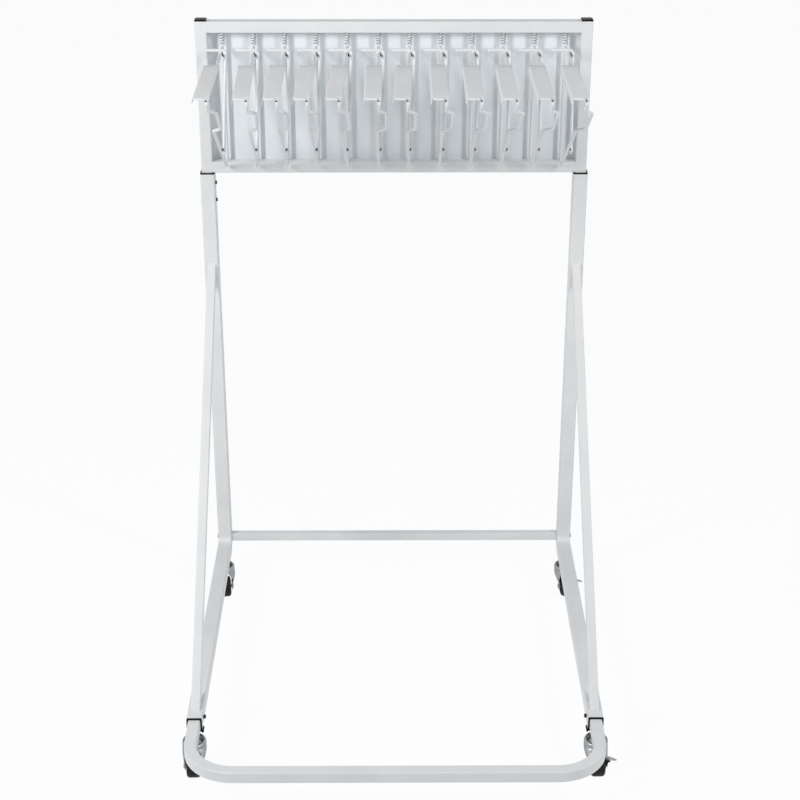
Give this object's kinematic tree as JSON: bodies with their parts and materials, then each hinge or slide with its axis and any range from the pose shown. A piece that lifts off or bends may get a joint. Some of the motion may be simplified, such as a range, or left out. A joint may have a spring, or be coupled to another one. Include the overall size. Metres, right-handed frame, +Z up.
{
  "type": "plan hanging rack",
  "caption": "Mobile plan hanging rack: side frames on casters, height-adjustable head and swinging wire arms that carry large drawings.",
  "frame": {"origin": "on the floor, midway between the side frames and midway from the U base's front to the columns' backs", "axes": "+Z up, +X to the right seen from the front, +Y to the back"},
  "size_m": [0.899, 0.9474, 1.382],
  "materials": {
    "frame_paint": "satin powder coat",
    "panel_paint": "satin powder coat",
    "wire_paint": "satin powder coat",
    "label_paint": "satin powder coat",
    "zinc_plate": "bright zinc plated",
    "spring_steel": "zinc plated",
    "black_plastic": "moulded",
    "wheel_plastic": "moulded",
    "black_screw": "black oxide"
  },
  "bodies": {
    "side_frames": {"side_frame_left": "frame_paint", "side_frame_right": "frame_paint", "brace_left": "frame_paint", "brace_right": "frame_paint", "rear_crossbar": "frame_paint", "crossbar_inserts": "black_plastic", "crossbar_bolts": "zinc_plate", "column_bushings": "black_plastic", "rail_bushings": "black_plastic", "clamp_screws": "black_screw", "rear_caster_stems": "zinc_plate"},
    "head": {"head_post_left": "frame_paint", "head_post_right": "frame_paint", "top_rail": "frame_paint", "bottom_rail": "frame_paint", "back_panel": "panel_paint", "panel_rivets": "zinc_plate", "post_caps": "black_plastic", "pivot_springs": "spring_steel"},
    "base": {"u_base": "frame_paint", "front_caster_sockets": "zinc_plate", "front_caster_stems": "zinc_plate"},
    "arm_1": {"arm_1_wire": "wire_paint", "arm_1_plate": "label_paint"},
    "arm_2": {"arm_2_wire": "wire_paint", "arm_2_plate": "label_paint"},
    "arm_3": {"arm_3_wire": "wire_paint", "arm_3_plate": "label_paint"},
    "arm_4": {"arm_4_wire": "wire_paint", "arm_4_plate": "label_paint"},
    "arm_5": {"arm_5_wire": "wire_paint", "arm_5_plate": "label_paint"},
    "arm_6": {"arm_6_wire": "wire_paint", "arm_6_plate": "label_paint"},
    "arm_7": {"arm_7_wire": "wire_paint", "arm_7_plate": "label_paint"},
    "arm_8": {"arm_8_wire": "wire_paint", "arm_8_plate": "label_paint"},
    "arm_9": {"arm_9_wire": "wire_paint", "arm_9_plate": "label_paint"},
    "arm_10": {"arm_10_wire": "wire_paint", "arm_10_plate": "label_paint"},
    "arm_11": {"arm_11_wire": "wire_paint", "arm_11_plate": "label_paint"},
    "arm_12": {"arm_12_wire": "wire_paint", "arm_12_plate": "label_paint"},
    "caster_front_left": {"caster_fork_front_left": "zinc_plate", "caster_axle_front_left": "zinc_plate"},
    "wheel_front_left": {"caster_wheel_front_left": "wheel_plastic"},
    "caster_front_right": {"caster_fork_front_right": "zinc_plate", "caster_axle_front_right": "zinc_plate"},
    "wheel_front_right": {"caster_wheel_front_right": "wheel_plastic"},
    "pedal_front_right": {"brake_pedal_front_right": "zinc_plate"},
    "caster_rear_left": {"caster_fork_rear_left": "zinc_plate", "caster_axle_rear_left": "zinc_plate"},
    "wheel_rear_left": {"caster_wheel_rear_left": "wheel_plastic"},
    "caster_rear_right": {"caster_fork_rear_right": "zinc_plate", "caster_axle_rear_right": "zinc_plate"},
    "wheel_rear_right": {"caster_wheel_rear_right": "wheel_plastic"},
    "pedal_rear_right": {"brake_pedal_rear_right": "zinc_plate"}
  },
  "joints": [
    {"name": "head_height", "type": "slide", "parent": "side_frames", "child": "head", "axis": [0, 0, 1], "range_m": [0, 0.25]},
    {"name": "base_reach", "type": "slide", "parent": "side_frames", "child": "base", "axis": [0, -1, 0], "range_m": [-0.008, 0.15]},
    {"name": "arm_1_swing", "type": "hinge", "parent": "head", "child": "arm_1", "pos_m": [-0.37125, 0.45775, 1.2], "axis": [0, 0, 1], "range_deg": [-42, 42]},
    {"name": "arm_2_swing", "type": "hinge", "parent": "head", "child": "arm_2", "pos_m": [-0.30375, 0.45775, 1.2], "axis": [0, 0, 1], "range_deg": [-42, 42]},
    {"name": "arm_3_swing", "type": "hinge", "parent": "head", "child": "arm_3", "pos_m": [-0.23625, 0.45775, 1.2], "axis": [0, 0, 1], "range_deg": [-42, 42]},
    {"name": "arm_4_swing", "type": "hinge", "parent": "head", "child": "arm_4", "pos_m": [-0.16875, 0.45775, 1.2], "axis": [0, 0, 1], "range_deg": [-42, 42]},
    {"name": "arm_5_swing", "type": "hinge", "parent": "head", "child": "arm_5", "pos_m": [-0.10125, 0.45775, 1.2], "axis": [0, 0, 1], "range_deg": [-42, 42]},
    {"name": "arm_6_swing", "type": "hinge", "parent": "head", "child": "arm_6", "pos_m": [-0.03375, 0.45775, 1.2], "axis": [0, 0, 1], "range_deg": [-42, 42]},
    {"name": "arm_7_swing", "type": "hinge", "parent": "head", "child": "arm_7", "pos_m": [0.03375, 0.45775, 1.2], "axis": [0, 0, 1], "range_deg": [-42, 42]},
    {"name": "arm_8_swing", "type": "hinge", "parent": "head", "child": "arm_8", "pos_m": [0.10125, 0.45775, 1.2], "axis": [0, 0, 1], "range_deg": [-42, 42]},
    {"name": "arm_9_swing", "type": "hinge", "parent": "head", "child": "arm_9", "pos_m": [0.16875, 0.45775, 1.2], "axis": [0, 0, 1], "range_deg": [-42, 42]},
    {"name": "arm_10_swing", "type": "hinge", "parent": "head", "child": "arm_10", "pos_m": [0.23625, 0.45775, 1.2], "axis": [0, 0, 1], "range_deg": [-42, 42]},
    {"name": "arm_11_swing", "type": "hinge", "parent": "head", "child": "arm_11", "pos_m": [0.30375, 0.45775, 1.2], "axis": [0, 0, 1], "range_deg": [-42, 42]},
    {"name": "arm_12_swing", "type": "hinge", "parent": "head", "child": "arm_12", "pos_m": [0.37125, 0.45775, 1.2], "axis": [0, 0, 1], "range_deg": [-42, 42]},
    {"name": "front_left_swivel", "type": "hinge", "parent": "base", "child": "caster_front_left", "pos_m": [-0.416, -0.32, 0.062], "axis": [0, 0, 1], "continuous": true},
    {"name": "front_left_roll", "type": "hinge", "parent": "caster_front_left", "child": "wheel_front_left", "pos_m": [-0.41443, -0.34996, 0.025], "axis": [0.9986, 0.0523, 0], "continuous": true},
    {"name": "front_right_swivel", "type": "hinge", "parent": "base", "child": "caster_front_right", "pos_m": [0.416, -0.32, 0.062], "axis": [0, 0, 1], "continuous": true},
    {"name": "front_right_roll", "type": "hinge", "parent": "caster_front_right", "child": "wheel_front_right", "pos_m": [0.41652, -0.35, 0.025], "axis": [0.9998, 0.0174, 0], "continuous": true},
    {"name": "front_right_brake", "type": "hinge", "parent": "caster_front_right", "child": "pedal_front_right", "pos_m": [0.43842, -0.34961, 0.038], "axis": [-0.0174, 0.9998, 0], "range_deg": [0, 10]},
    {"name": "rear_left_swivel", "type": "hinge", "parent": "side_frames", "child": "caster_rear_left", "pos_m": [-0.416, 0.385, 0.062], "axis": [0, 0, 1], "continuous": true},
    {"name": "rear_left_roll", "type": "hinge", "parent": "caster_rear_left", "child": "wheel_rear_left", "pos_m": [-0.41182, 0.35529, 0.025], "axis": [0.9903, 0.1392, 0], "continuous": true},
    {"name": "rear_right_swivel", "type": "hinge", "parent": "side_frames", "child": "caster_rear_right", "pos_m": [0.416, 0.385, 0.062], "axis": [0, 0, 1], "continuous": true},
    {"name": "rear_right_roll", "type": "hinge", "parent": "caster_rear_right", "child": "wheel_rear_right", "pos_m": [0.41809, 0.35507, 0.025], "axis": [0.9976, 0.0698, 0], "continuous": true},
    {"name": "rear_right_brake", "type": "hinge", "parent": "caster_rear_right", "child": "pedal_rear_right", "pos_m": [0.43994, 0.3566, 0.038], "axis": [-0.0698, 0.9976, 0], "range_deg": [0, 10]}
  ],
  "couplings": [
    {"joint": "arm_2_swing", "follows": "arm_1_swing", "ratio": 1},
    {"joint": "arm_3_swing", "follows": "arm_1_swing", "ratio": 1},
    {"joint": "arm_4_swing", "follows": "arm_1_swing", "ratio": 1},
    {"joint": "arm_5_swing", "follows": "arm_1_swing", "ratio": 1},
    {"joint": "arm_6_swing", "follows": "arm_1_swing", "ratio": 1},
    {"joint": "arm_7_swing", "follows": "arm_1_swing", "ratio": 1},
    {"joint": "arm_8_swing", "follows": "arm_1_swing", "ratio": 1},
    {"joint": "arm_9_swing", "follows": "arm_1_swing", "ratio": 1},
    {"joint": "arm_10_swing", "follows": "arm_1_swing", "ratio": 1},
    {"joint": "arm_11_swing", "follows": "arm_1_swing", "ratio": 1},
    {"joint": "arm_12_swing", "follows": "arm_1_swing", "ratio": 1}
  ]
}
